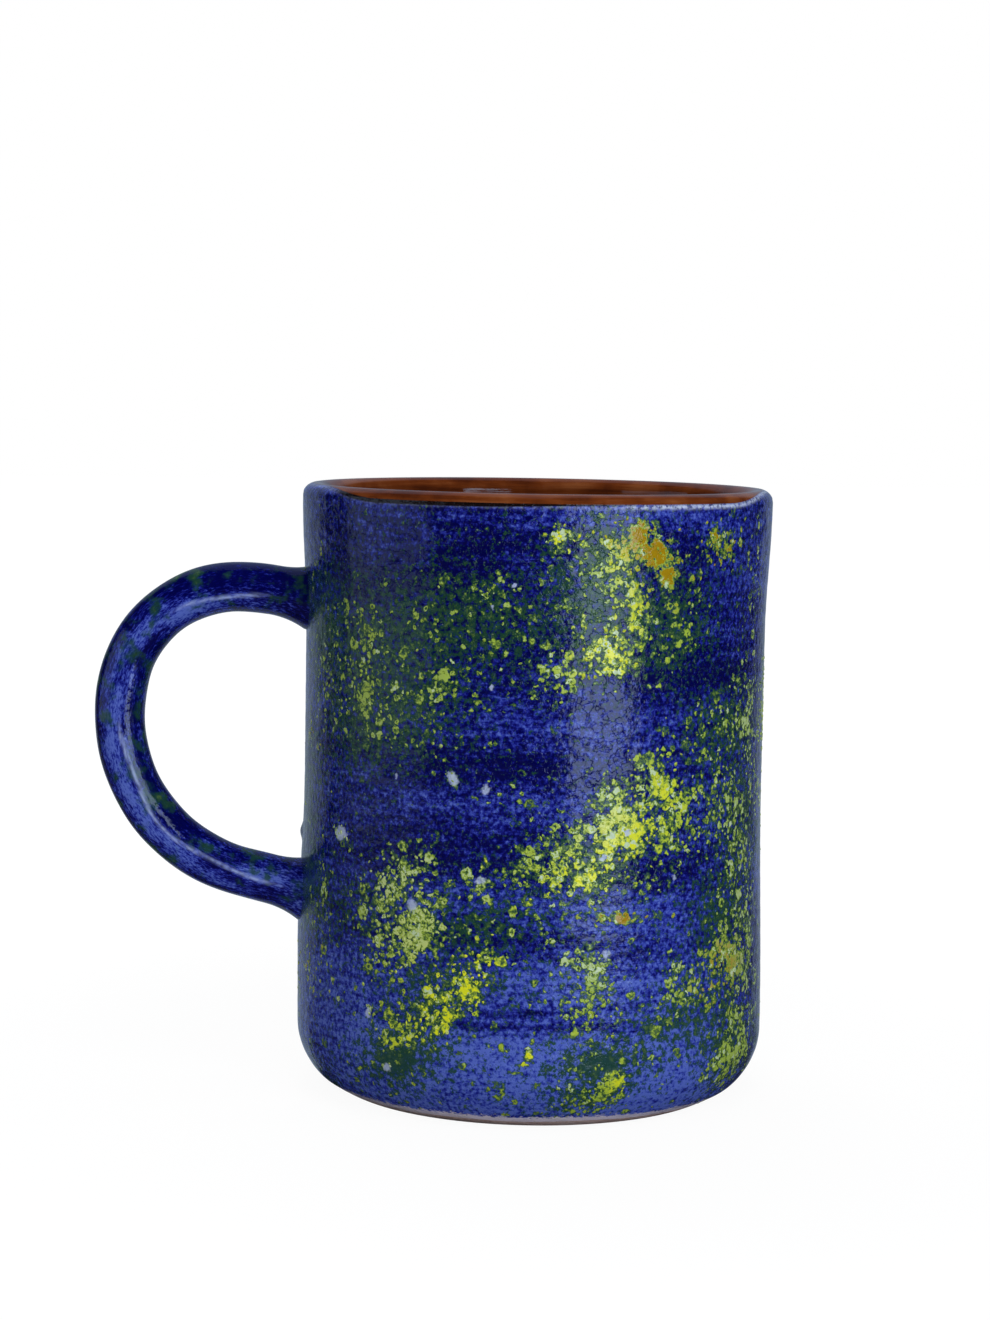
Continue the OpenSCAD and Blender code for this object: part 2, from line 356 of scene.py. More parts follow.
LIGHT_STROKES = [
    (-5, 67, 14, 3, 0, 0.7), (34, 69, 9, 3, 0, 0.4), (-15, 53, 16, 4, 0, 0.5),
    (6, 38, 17, 2, 0, 0.55), (23, 35, 13, 3, 0, 0.6), (23, 28, 13, 2, 5, 0.6),
    (-9, 26, 16, 2.5, 0, 0.6), (-10, 14, 24, 6, 0, 0.85), (31, 10, 16, 8, 0, 0.9),
    (-54, 13, 13, 7, 0, 0.7), (-13, 7, 24, 4, 0, 0.9), (0, 101, 16, 1.5, 0, 0.4),
    (35, 101, 12, 1.5, 0, 0.4), (10, 3, 40, 3, 0, 0.5),
]
DARK_STROKES = [
    (-13, 61, 15, 4, 0, 0.8), (-32, 47, 14, 4, 0, 0.9), (-4, 45, 9, 3, 0, 0.6),
    (20, 43, 12, 3, 0, 0.7), (-15, 32, 30, 2, 0, 0.7), (27, 29, 15, 1, 8, 0.6),
    (-13, 18, 22, 0.7, 0, 1), (-6, 20.5, 15, 0.5, 3, 0.9), (-20, 95, 15, 6, 0, 0.8),
    (27, 88, 9, 10, 0, 0.9), (33, 75, 18, 4, 0, 0.9), (-48, 90, 13, 8, 0, 0.8),
    (-53, 62, 12, 5, 0, 0.7), (20, 57, 12, 4, 0, 0.5), (46, 40, 11, 4, 0, 0.5),
    (-20, 78, 30, 14, 0, 0.6),
]


# Round the back the hand's movements come again, a third of a turn on to either side and so much higher
THIRD_TURN = 120
BACK_RISES = ((1, 34), (-1, 67))
DAB_TOP = 100
FRONT_HALF = 70
# A dab presses most at its core, and a faint halo of it reaches further
CORE_SHARE = 0.9
CORE_FALL = 0.9
HALO_SHARE = 0.1
HALO_FALL = 0.3


def carried_round(dabs):
    """The front's dabs, and the same movements of the hand again at other heights round the back."""
    again = [
        ((turn + side * THIRD_TURN + 180) % 360 - 180, (z + rise) % DAB_TOP, *rest)
        for side, rise in BACK_RISES for turn, z, *rest in dabs
    ]
    return dabs + [dab for dab in again if abs(dab[0]) > FRONT_HALF]


def pressed(dabs, turn, z):
    """How strongly the dabs cover each point of the wall, from 0 to 1."""
    left_bare = np.ones_like(turn)
    for dab_turn, dab_z, half_width, half_height, tilt, strength in carried_round(dabs):
        across = np.radians((turn - dab_turn + 180) % 360 - 180) * BELLY_RADIUS
        up = z - dab_z
        lean = math.radians(tilt)
        along = (across * math.cos(lean) + up * math.sin(lean)) / half_width
        aside = (up * math.cos(lean) - across * math.sin(lean)) / half_height
        off_centre = along**2 + aside**2
        core = CORE_SHARE * np.exp(-CORE_FALL * off_centre)
        halo = HALO_SHARE * np.exp(-HALO_FALL * off_centre)
        left_bare *= 1 - strength * (core + halo)
    return 1 - left_bare


def new_group(name, inputs, outputs):
    """A shader node group. Returns it with its inner ends: the input's sockets and the output's."""
    group = bpy.data.node_groups.new(name, "ShaderNodeTree")
    for sockets, way in ((inputs, "INPUT"), (outputs, "OUTPUT")):
        for label, kind in sockets.items():
            group.interface.new_socket(label, in_out=way, socket_type="NodeSocket" + kind)
    return group, group.nodes.new("NodeGroupInput").outputs, group.nodes.new("NodeGroupOutput").inputs


brushed_blue, given, made = new_group(
    "brushed_blue", {"Place": "Vector", "Tone": "Float"}, {"Colour": "Color", "Strokes": "Float"})
strokes = noise(brushed_blue, stretched(brushed_blue, given["Place"], (0.12, 0.12, 1.0)), 1.0, 4.0, 0.65)
bands = noise(brushed_blue, stretched(brushed_blue, given["Place"], (0.03, 0.03, 0.14)), 1.0, 2.0)
mottle = noise(brushed_blue, given["Place"], 1.3, 3.0, 0.65)
depth = maths(brushed_blue, "MULTIPLY_ADD", strokes, 1.15, maths(brushed_blue, "MULTIPLY", bands, 0.5))
depth = maths(brushed_blue, "MULTIPLY_ADD", mottle, 2.1, depth)
depth = maths(brushed_blue, "MULTIPLY_ADD", given["Tone"], 0.26, depth)
depth = maths(brushed_blue, "SUBTRACT", depth, 1.375)
brushed_blue.links.new(
    colour_ramp(
        brushed_blue, depth, (0.18, BLUE_BLACK), (0.36, BLUE_DEEP), (0.52, BLUE_BODY),
        (0.68, BLUE_LIGHT), (0.95, BLUE_THIN),
    ),
    made["Colour"],
)
brushed_blue.links.new(strokes, made["Strokes"])

sponge_marks, given, made = new_group(
    "sponge_marks", {"Place": "Vector", "Density": "Float"}, {"Load": "Float", "Pick": "Float"})
drift = node(sponge_marks, "ShaderNodeTexNoise", Vector=given["Place"], Scale=1.1, Detail=4.0)
torn_place = node(
    sponge_marks, "ShaderNodeVectorMath", drift.outputs["Color"], (1.5, 1.5, 1.5), given["Place"],
    settings={"operation": "MULTIPLY_ADD"},
).outputs[0]
clumps = step_between(sponge_marks, noise(sponge_marks, given["Place"], 0.22, 3.0), 0.35, 0.65, 0.55, 1.2)
density = maths(sponge_marks, "MULTIPLY", maths(sponge_marks, "POWER", given["Density"], 1.3), clumps)
lace = noise(sponge_marks, given["Place"], 0.8, 4.0, 0.6)
load = maths(sponge_marks, "MULTIPLY_ADD", lace, 2.2, -1.55)
load = maths(sponge_marks, "MULTIPLY_ADD", density, 1.1, load)
for cell, share in ((0.5, 0.5), (0.75, 0.85), (1.15, 0.75)):
    pores = node(sponge_marks, "ShaderNodeTexVoronoi", Vector=torn_place, Scale=cell).outputs
    chance, size, pick = node(sponge_marks, "ShaderNodeSeparateColor", pores["Color"]).outputs
    limit = maths(sponge_marks, "MULTIPLY_ADD", density, share, 0.02)
    spare = maths(sponge_marks, "SUBTRACT", limit, chance)
    printed = step_between(sponge_marks, spare, 0.0, 0.06)
    reach = maths(sponge_marks, "MULTIPLY_ADD", size, 0.32, 0.38)
    inside = maths(sponge_marks, "SUBTRACT", reach, pores["Distance"])
    tone = maths(sponge_marks, "MULTIPLY_ADD", density, 0.6, 0.05)
    tone = maths(sponge_marks, "MULTIPLY_ADD", pick, 0.55, tone)
    hollow_reach = maths(sponge_marks, "MULTIPLY", size, 0.5)
    hollow = step_between(sponge_marks, pores["Distance"], 0.0, hollow_reach, 0.4, 1.0)
    blob = maths(sponge_marks, "MULTIPLY", printed, step_between(sponge_marks, inside, -0.1, 0.26))
    blob = maths(sponge_marks, "MULTIPLY", blob, hollow)
    load = maths(sponge_marks, "MAXIMUM", load, maths(sponge_marks, "MULTIPLY", blob, tone))
sponge_marks.links.new(load, made["Load"])
sponge_marks.links.new(size, made["Pick"])

blue_coat, tree, shader, place = new_material("sponged_blue_coat")
layer = {
    name: node(tree, "ShaderNodeAttribute", settings={"attribute_name": name}).outputs
    for name in ("fleck", "fleck_tint", "stain", "drops", "tone", "rim_shade", "rim_highlight", "foot_edge")
}
brushed = {"node_tree": brushed_blue}
blue = node(tree, "ShaderNodeGroup", place, layer["tone"]["Fac"], settings=brushed).outputs
sponged = {"node_tree": sponge_marks}
marks = node(tree, "ShaderNodeGroup", place, layer["fleck"]["Fac"], settings=sponged).outputs
grain = noise(tree, place, 1.5, 3.0, 0.65)
load = maths(tree, "MULTIPLY_ADD", grain, 1.4, maths(tree, "SUBTRACT", marks["Load"], 0.73))
cloud = noise(tree, place, 0.95, 4.0, 0.7)
torn = step_between(tree, layer["stain"]["Fac"], 0.8, 1.0, 4.0, 1.4)
stain = maths(tree, "MULTIPLY_ADD", maths(tree, "SUBTRACT", cloud, 0.5), torn, layer["stain"]["Fac"])
colour = laid_over(tree, step_between(tree, stain, 0.45, 0.85, 0.0, 0.95), blue["Colour"], DARK_GREEN)
colour = laid_over(tree, step_between(tree, stain, 0.95, 1.5, 0.0, 0.9), colour, LEAF_GREEN)
colour = laid_over(tree, step_between(tree, grain, 0.60, 0.78, 0.0, 0.45), colour, PALE_BLUE)
colour = laid_over(tree, step_between(tree, load, 0.08, 0.24, 0.0, 0.85), colour, DARK_GREEN)
colour = laid_over(tree, step_between(tree, load, 0.24, 0.42), colour, LEAF_GREEN)
colour = laid_over(tree, step_between(tree, load, 0.42, 0.60), colour, LIME)
unmixed = step_between(tree, layer["fleck"]["Fac"], 1.0, 1.2, 1.0, 0.0)
pale_share = maths(tree, "MULTIPLY", step_between(tree, marks["Pick"], 0.78, 0.84), unmixed)
tint = laid_over(tree, pale_share, layer["fleck_tint"]["Color"], PALE)
colour = laid_over(tree, step_between(tree, load, 0.58, 0.76), colour, tint)
# White drops of paint, and three painted glints
drop_and_glint_share = maths(tree, "MULTIPLY_ADD", noise(tree, place, 1.2, 3.0, 0.6), 0.9, layer["drops"]["Fac"])
colour = laid_over(tree, step_between(tree, drop_and_glint_share, 0.85, 1.15, 0.0, 0.8), colour, DROP_AND_GLINT_WHITE)
# Painted highlight: a light line along the coat's upper edge, broken up by the grain
highlight_breakup = step_between(tree, grain, 0.35, 0.6, 0.15, 1.0)
colour = laid_over(tree, maths(tree, "MULTIPLY", layer["rim_highlight"]["Fac"], highlight_breakup), colour, RIM_HIGHLIGHT_WHITE)
# Painted shade: a dark line along the coat's upper edge on the left
colour = laid_over(tree, layer["rim_shade"]["Fac"], colour, RIM_SHADE_BLACK)
ragged = maths(tree, "MULTIPLY_ADD", grain, 1.4, maths(tree, "SUBTRACT", layer["foot_edge"]["Fac"], 0.7))
colour = laid_over(tree, step_between(tree, ragged, 0.25, 0.6, 0.0, 0.85), colour, FOOT_PINK)
tree.links.new(colour, shader.inputs["Base Color"])
ripple = noise(tree, place, 0.7, 3.0)
tree.links.new(step_between(tree, ripple, 0.3, 0.7, 0.03, 0.12), shader.inputs["Roughness"])
relief = maths(tree, "MULTIPLY_ADD", blue["Strokes"], 0.3, step_between(tree, load, 0.0, 0.8, 0.0, 0.5))
relief = maths(tree, "MULTIPLY_ADD", ripple, 1.3, relief)
from_crease = maths(tree, "ABSOLUTE", maths(tree, "SUBTRACT", noise(tree, place, 0.5, 3.0), 0.5))
relief = maths(tree, "ADD", step_between(tree, from_crease, 0.0, 0.03, 0.0, 0.35), relief)
relief = maths(tree, "MULTIPLY_ADD", noise(tree, place, 0.2, 2.0), 2.5, relief)
coat_bump = node(tree, "ShaderNodeBump", Strength=0.8, Distance=0.13 * MM, Height=relief)
tree.links.new(coat_bump.outputs[0], shader.inputs["Normal"])

COAT_STEPS = 360
FOOT_ROWS = 26
WALL_ROWS = 160
TOP_BAND = 1.0
TOP_ROWS = 11
LIP_ROWS = 16
BEDDED_STRIDE = 6
RING_RELIEF = 0.008
FOOT_THIN = 0.15
# At the sides the coat runs further over the lip: the turn where that starts and the span it takes
LAP_START = 46.0
LAP_SPAN = 28.0
LAP_LEAD = 5.0
LAP_EASE = 8.0
# Glaze pooled round the handle's lower joint, and one drip above it: turns in degrees, the rest in mm
JOINT_TURN = -97.0
POOL = 0.45
POOL_Z = 31.0
POOL_HALF_TURN = 22.0
POOL_HALF_HEIGHT = 12.0
DRIP = 0.6
DRIP_Z = 43.5
DRIP_HALF_TURN = 1.6
DRIP_HALF_HEIGHT = 1.5
turn = np.linspace(-180, 180, COAT_STEPS, endpoint=False)[None, :]
swing = np.radians(turn)
bare = BARE_FOOT + 0.35 * np.cos(swing + 0.7) + 0.15 * np.sin(3 * swing + 1) + 0.08 * np.sin(11 * swing)
share = np.linspace(0, 1, FOOT_ROWS)[:, None]
foot_angle = -np.arcsin((BELLY_Z - bare) / FOOT_CURVE) * (1 - share)
wall_z = np.concatenate([
    np.linspace(BELLY_Z, LIP_Z - TOP_BAND, WALL_ROWS)[1:],
    np.linspace(LIP_Z - TOP_BAND, LIP_Z, TOP_ROWS)[1:],
])[:, None]
at_side = ease((np.abs(turn) - LAP_START) / LAP_SPAN)
lip_reach = np.radians(COAT_LIP_TURN + (COAT_SIDE_TURN - COAT_LIP_TURN) * at_side)
lip_angle = np.linspace(0, 1, LIP_ROWS)[1:, None] * lip_reach
# Each row's point on the clay, and the way out from it
lie_radius = np.concatenate([
    BELLY_RADIUS - FOOT_CURVE + FOOT_CURVE * np.cos(foot_angle),
    wall_radius(wall_z) + 0 * swing,
    wall_radius(LIP_Z) - LIP_RADIUS + LIP_RADIUS * np.cos(lip_angle),
])
lie_z = np.concatenate([
    BELLY_Z + FOOT_CURVE * np.sin(foot_angle),
    wall_z + 0 * swing,
    LIP_Z + LIP_RADIUS * np.sin(lip_angle),
])
out_angle = np.concatenate([foot_angle, 0 * wall_z + 0 * swing, lip_angle])
lie_turn = turn + 0 * lie_z
rings = np.sin(lie_z * 2.4 + 1.1 * np.sin(swing)) + np.sin(lie_z * 1.15 + 2 * np.cos(2 * swing))
thickness = COAT + RING_RELIEF * rings
fullness = np.concatenate([ease(share * 5), np.ones((len(lie_z) - len(share), 1))])
thickness *= fullness * (1 - FOOT_THIN) + FOOT_THIN
lapped = ease((np.degrees(lip_angle) - COAT_LIP_TURN + LAP_LEAD) / LAP_EASE)
thickness[-len(lip_angle):] += (LINING + COAT_LAP - COAT) * lapped
from_joint = (lie_turn - JOINT_TURN + 180) % 360 - 180
from_pool = (from_joint / POOL_HALF_TURN) ** 2 + ((lie_z - POOL_Z) / POOL_HALF_HEIGHT) ** 2
from_drip = (from_joint / DRIP_HALF_TURN) ** 2 + ((lie_z - DRIP_Z) / DRIP_HALF_HEIGHT) ** 2
thickness += POOL * np.exp(-from_pool)
thickness += DRIP * np.exp(-from_drip)


def coat_rows(grow):
    """Rows of points in mm that lie off the clay by the given amount."""
    radius = lie_radius + grow * np.cos(out_angle)
    height = lie_z + grow * np.sin(out_angle)
    return np.stack([radius * np.sin(swing), -radius * np.cos(swing), height], -1)


def store(mesh, name, values):
    """Keeps a value or a colour for each outer point; the bedded side of the shell has none."""
    kind, field = ("FLOAT_COLOR", "color") if values.ndim == 3 else ("FLOAT", "value")
    kept = np.zeros((len(mesh.vertices), *values.shape[2:]), np.float32)
    kept[:values.shape[0] * values.shape[1]] = values.reshape(-1, *values.shape[2:])
    mesh.attributes.new(name, kind, "POINT").data.foreach_set(field, kept.ravel())


bedded = coat_rows(COAT_BEDDED)[::-1]
bedded = np.concatenate([bedded[:-1:BEDDED_STRIDE], bedded[-1:]])
coat = skin("wall_coat", np.concatenate([coat_rows(thickness), bedded]), ring=True)
coat.data.materials.append(blue_coat)

# How much each colour counts where dabs overlap. Lime also fills the stray flecks between the dabs.
YELLOW_WEIGHT = 1.6
OCHRE_WEIGHT = 12.0
LIME_WEIGHT = 0.7
LIME_GROUND = 0.06
# Stray flecks, and how many more there are low on the wall; the wall beside the handle has fewer
LOW_PART = 50.0
STRAY = 0.10
STRAY_LOW = 0.12
HANDLE_SIDE = (-110.0, -64.0)
HANDLE_SIDE_LESS = 0.5
# Ochre was laid on solid
OCHRE_SOLID = 0.45
yellow_load = pressed(YELLOW_DABS, lie_turn, lie_z)
ochre_load = pressed(OCHRE_DABS, lie_turn, lie_z)
lime_load = pressed(LIME_DABS, lie_turn, lie_z)
pale_load = pressed(PALE_DABS, lie_turn, lie_z)
bare_wall = np.prod([1 - yellow_load, 1 - ochre_load, 1 - lime_load, 1 - pale_load], axis=0)
weights = (
    (YELLOW, yellow_load * YELLOW_WEIGHT),
    (OCHRE, ochre_load * OCHRE_WEIGHT),
    (LIME, lime_load * LIME_WEIGHT + LIME_GROUND),
    (PALE, pale_load),
)
total = sum(weight for _, weight in weights)
tint = sum(weight[..., None] * np.array([*colour, 1.0]) for colour, weight in weights) / total[..., None]
fleck = np.maximum(1 - bare_wall, STRAY + STRAY_LOW * ease((LOW_PART - lie_z) / 20))
beside_handle = ease((lie_turn - HANDLE_SIDE[0]) / 15) * ease((HANDLE_SIDE[1] - lie_turn) / 12)
fleck *= 1 - HANDLE_SIDE_LESS * beside_handle
fleck += OCHRE_SOLID * ochre_load**2
store(coat.data, "fleck", fleck)
store(coat.data, "fleck_tint", tint)
store(coat.data, "stain", pressed(GREEN_DABS, lie_turn, lie_z))
store(coat.data, "drops", pressed(WHITE_DROPS_AND_GLINTS, lie_turn, lie_z))

# The blue is lighter towards the foot; dark strokes count for more than light ones
DARK_WEIGHT = 1.4
LOW_LIGHTER = 0.7
ALL_DARKER = 0.1
tone = pressed(LIGHT_STROKES, lie_turn, lie_z) - DARK_WEIGHT * pressed(DARK_STROKES, lie_turn, lie_z)
tone = tone + LOW_LIGHTER * ease((LOW_PART - lie_z) / 45) - ALL_DARKER
store(coat.data, "tone", tone)

# Along the coat's upper edge runs painted shade on the left, a dark line for the shadow in the gap by the
# lining, and elsewhere a painted highlight, a light line for the light on the coat's raised edge. Along the
# foot runs a pale line where the glaze thins out
LINE_WIDTH = 0.5
LINE_NARROWS = 0.4
LINE_SOFT = 0.2
HIGHLIGHT_BELOW = 0.35
FOOT_LINE_FADE = 3.4
below_edge = (lip_reach - np.maximum(out_angle, 0)) * LIP_RADIUS + np.maximum(LIP_Z - lie_z, 0)
left_part = 1 - ease((lie_turn - 8) / 14) * ease((160 - lie_turn) / 30)
line_width = LINE_WIDTH - LINE_NARROWS * ease((lie_turn + 25) / 35)
rim_shade = (1 - ease((below_edge - line_width) / LINE_SOFT)) * left_part
rim_shade = rim_shade * ease((70 - np.abs(lie_turn)) / 12)
store(coat.data, "rim_shade", rim_shade)
# Painted highlight along the coat's raised upper edge, weaker on the left part
rim_highlight = np.exp(-(((below_edge - HIGHLIGHT_BELOW) / HIGHLIGHT_BELOW) ** 2)) * (0.85 - 0.6 * left_part)
store(coat.data, "rim_highlight", rim_highlight)
from_foot = np.concatenate([share * np.ones_like(swing), np.ones_like(lie_z[len(share):])])
foot_edge = (1 - ease(from_foot * FOOT_LINE_FADE)) * (0.75 + 0.25 * np.cos(swing + 0.6))
store(coat.data, "foot_edge", foot_edge)
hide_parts("wall_glaze")
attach(coat, "root")

# Coloured coat on the handle: the same blue, brushed on along the coil and run down to its joints.
# It swells over the slip at both ends, and the brush left two low crests of glaze along each side,
# with a painted highlight of pale blue along them.
HANDLE_DROP = 19.4
LEAD = 5.0
LEAD_RISE = math.radians(10.5)
LEAD_BEND = 38.0
CROWN = 20.0
CROWN_TURN = math.radians(75.5)
BACK = 28.5
TAIL_DROP = math.radians(14.5)
LOWER_JOINT_Z = 35.0
COIL_RADIUS = 4.0
COIL_COAT = 0.35
COIL_FACETS = 72
BEND_STEP = 0.8
STRAIGHT_STEP = 0.5
FILLET_SPREAD = 1.2
FILLET_RUN = 6.0
RUN_IN = 1.5
UNEVEN = 0.12
# Lighter and darker patches along the handle: the way along the handle, the way out from its middle line,
# half the length and half the width in mm, and the strength. Both sides of the handle have them.
PALE_PATCHES = [
    (24, -1.5, 4.5, 1.3, 2.6), (33, 1, 5, 1, 1.2), (43, 0, 5, 1, 1.3), (54, 2, 7, 1.3, 1.1),
    (72, 2.2, 8, 1.2, 1.4), (88, -0.8, 4, 1.1, 2.8), (14, -1.5, 5, 0.8, 0.8), (64, 1, 5, 0.8, 0.8),
]
DEEP_PATCHES = [
    (8, 2.2, 15, 2.2, 1.5), (67, -2, 12, 1.6, 1.2), (38, -2.5, 10, 1.2, 0.8), (48, 4, 30, 1.2, 0.7),
    (2, 0, 3, 5, 1),
]
# Crests of glaze that the brush left standing: where each starts and ends along the handle, and how far out
CRESTS = [(7, 27, -1.0), (46, 93, -0.3)]
CREST_HEIGHT = 0.15
CREST_HALF = 0.24
CREST_FADE = 6.0
CREST_WANDER = 0.4


def bent(start, heading, end_heading, radius):
    """Points along a downward bend in the handle's plane, as (out, up) in mm, without its start."""
    count = max(3, int(abs(end_heading - heading) * radius / BEND_STEP))
    headings = np.linspace(heading, end_heading, count)[1:]
    centre = start + radius * np.array([math.sin(heading), -math.cos(heading)])
    return centre + radius * np.stack([-np.sin(headings), np.cos(headings)], 1)


def straight(start, heading, length):
    """Points along a straight stretch in the handle's plane, without its start."""
    steps = np.linspace(0, length, max(2, int(length / STRAIGHT_STEP)))[1:, None]
    return start + steps * np.array([math.cos(heading), math.sin(heading)])


joint_z = CUP_HEIGHT - HANDLE_DROP
upper_joint = np.array([wall_radius(joint_z), joint_z])
way_out = np.array([math.cos(LEAD_RISE), math.sin(LEAD_RISE)])
route = [(upper_joint - RUN_IN * way_out)[None]]
route.append(straight(route[-1][-1], LEAD_RISE, RUN_IN + LEAD))
route.append(bent(route[-1][-1], LEAD_RISE, 0, LEAD_BEND))
route.append(bent(route[-1][-1], 0, -CROWN_TURN, CROWN))
route.append(bent(route[-1][-1], -CROWN_TURN, TAIL_DROP - math.pi, BACK))
tail_start = route[-1][-1]
tail_length = (tail_start[0] - wall_radius(LOWER_JOINT_Z)) / math.cos(TAIL_DROP)
route.append(straight(tail_start, TAIL_DROP - math.pi, tail_length + RUN_IN))
route = np.concatenate(route)
walked = np.concatenate([[0], np.cumsum(np.linalg.norm(np.diff(route, axis=0), axis=1))])
to_joint = np.minimum(walked, walked[-1] - walked) - RUN_IN
fillet = np.clip(1 - to_joint / FILLET_RUN, 0, 1.1) ** 2 * FILLET_SPREAD

line = bpy.data.meshes.new("handle_coat")
line_points = [(-out * MM, 0, up * MM) for out, up in route]
line.from_pydata(line_points, [(i, i + 1) for i in range(len(route) - 1)], [])
squeezed = UNEVEN * (2 + np.sin(walked * 0.55) + np.sin(walked * 0.23 + 1)) / 4
swell = (COIL_RADIUS + COIL_COAT - squeezed + fillet) * MM
line.attributes.new("swell", "FLOAT", "POINT").data.foreach_set("value", swell.astype(np.float32))
handle_coat = bpy.data.objects.new("handle_coat", line)
bpy.context.collection.objects.link(handle_coat)

coil_sweep = bpy.data.node_groups.new("coil_sweep", "GeometryNodeTree")
coil_sweep.interface.new_socket("Geometry", in_out="INPUT", socket_type="NodeSocketGeometry")
facets = coil_sweep.interface.new_socket("Facets", in_out="INPUT", socket_type="NodeSocketInt")
finish = coil_sweep.interface.new_socket("Finish", in_out="INPUT", socket_type="NodeSocketMaterial")
coil_sweep.interface.new_socket("Geometry", in_out="OUTPUT", socket_type="NodeSocketGeometry")
given = coil_sweep.nodes.new("NodeGroupInput").outputs
curve = node(coil_sweep, "GeometryNodeMeshToCurve", given["Geometry"]).outputs[0]
ring = node(coil_sweep, "GeometryNodeCurvePrimitiveCircle", Resolution=given["Facets"], Radius=1.0)
radius = node(coil_sweep, "GeometryNodeInputNamedAttribute", "swell").outputs[0]
tube = node(
    coil_sweep, "GeometryNodeCurveToMesh", curve, ring.outputs[0], Scale=radius, Fill_Caps=True,
).outputs[0]
smooth = node(coil_sweep, "GeometryNodeSetShadeSmooth", tube).outputs[0]
solid = node(coil_sweep, "GeometryNodeRealizeInstances", smooth).outputs[0]
coated = node(coil_sweep, "GeometryNodeSetMaterial", solid, Material=given["Finish"]).outputs[0]
node(coil_sweep, "NodeGroupOutput", coated)


def made_plain(piece, tree, values):
    """Runs a geometry tree on the piece and keeps the result as its plain mesh."""
    modifier = piece.modifiers.new(tree.name, "NODES")
    modifier.node_group = tree
    for socket, value in values.items():
        modifier[socket.identifier] = value
    evaluated = piece.evaluated_get(bpy.context.evaluated_depsgraph_get())
    mesh = bpy.data.meshes.new_from_object(evaluated)
    piece.modifiers.clear()
    piece.data = mesh


handle_blue, tree, shader, place = new_material("brushed_handle_coat")
lay = node(tree, "ShaderNodeAttribute", settings={"attribute_name": "stroke"}).outputs["Vector"]
tone = node(tree, "ShaderNodeAttribute", settings={"attribute_name": "tone"}).outputs["Fac"]
tone = maths(tree, "SUBTRACT", tone, 2.0)
tone = maths(tree, "MULTIPLY_ADD", noise(tree, place, 0.4, 4.0, 0.6), 4.0, tone)
blue = node(tree, "ShaderNodeGroup", lay, tone, settings=brushed).outputs
ripple = noise(tree, place, 0.5, 3.0)
smudge = noise(tree, place, 0.25, 5.0, 0.6)
crest = node(tree, "ShaderNodeAttribute", settings={"attribute_name": "crest"}).outputs["Fac"]
colour = laid_over(tree, step_between(tree, smudge, 0.51, 0.64, 0.0, 0.85), blue["Colour"], DARK_GREEN)
colour = laid_over(tree, step_between(tree, smudge, 0.64, 0.76, 0.0, 0.7), colour, LEAF_GREEN)
# Painted highlight: pale blue along the glaze crests
crest_highlight = maths(tree, "MULTIPLY", crest, step_between(tree, ripple, 0.35, 0.55, 0.35, 0.9))
colour = laid_over(tree, crest_highlight, colour, PALE_BLUE)
tree.links.new(colour, shader.inputs["Base Color"])
tree.links.new(step_between(tree, ripple, 0.3, 0.7, 0.03, 0.12), shader.inputs["Roughness"])
relief = maths(tree, "MULTIPLY_ADD", blue["Strokes"], 0.8, ripple)
coat_bump = node(tree, "ShaderNodeBump", Strength=0.5, Distance=0.2 * MM, Height=relief)
tree.links.new(coat_bump.outputs[0], shader.inputs["Normal"])

made_plain(handle_coat, coil_sweep, {facets: COIL_FACETS, finish: handle_blue})
points = np.zeros(len(handle_coat.data.vertices) * 3)
handle_coat.data.vertices.foreach_get("co", points)
points = points.reshape(-1, 3) / MM
flat = np.stack([-points[:, 0], points[:, 2]], 1)
nearest = np.argmin(((flat[:, None] - route[None]) ** 2).sum(-1), axis=1)
ahead = np.gradient(route, axis=0)
outward = np.stack([-ahead[:, 1], ahead[:, 0]], 1) / np.linalg.norm(ahead, axis=1)[:, None]
outward_part = ((flat - route[nearest]) * outward[nearest]).sum(1)
stroke = np.stack([walked[nearest], 3 * outward_part, points[:, 1]], 1).astype(np.float32)
# Painted shade: the coil is darker along its crown and its inner and outer edges, lighter on its two broad
# faces
tone = 0.9 * ease(np.abs(points[:, 1]) / COIL_RADIUS) - 1.1
for patches, way in ((PALE_PATCHES, 1), (DEEP_PATCHES, -1)):
    for along, out, half_length, half_width, strength in patches:
        lengthwise = (walked[nearest] - along) / half_length
        crosswise = (outward_part - out) / half_width
        tone += way * strength * np.exp(-0.7 * (lengthwise**2 + crosswise**2))
crest = np.zeros(len(points))
for first, last, out in CRESTS:
    along = walked[nearest]
    aside = (outward_part - out - CREST_WANDER * np.sin(along * 0.3)) / CREST_HALF
    crest += np.exp(-(aside**2)) * ease((along - first) / CREST_FADE) * ease((last - along) / CREST_FADE)
for name, values in (("tone", tone), ("crest", crest)):
    kept = handle_coat.data.attributes.new(name, "FLOAT", "POINT").data
    kept.foreach_set("value", values.astype(np.float32))
points[:, 1] += CREST_HEIGHT * crest * np.sign(points[:, 1])
handle_coat.data.vertices.foreach_set("co", (points * MM).ravel())
kept = handle_coat.data.attributes.new("stroke", "FLOAT_VECTOR", "POINT").data
kept.foreach_set("vector", stroke.ravel())
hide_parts("handle_glaze")
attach(handle_coat, "root")

# Raised flecks: spots of yellow and white paint that the sponge's pores left standing on the blue.
# They were pressed on last, and in the firing their edges melted into the coat.
FLECK_SPACING = 0.7
FLECK_CROWD = 8e5
FLECK_SMALLEST = (0.2, 0.15, 0.05)
FLECK_LARGEST = (0.48, 0.38, 0.10)
FLECK_SEED = 7

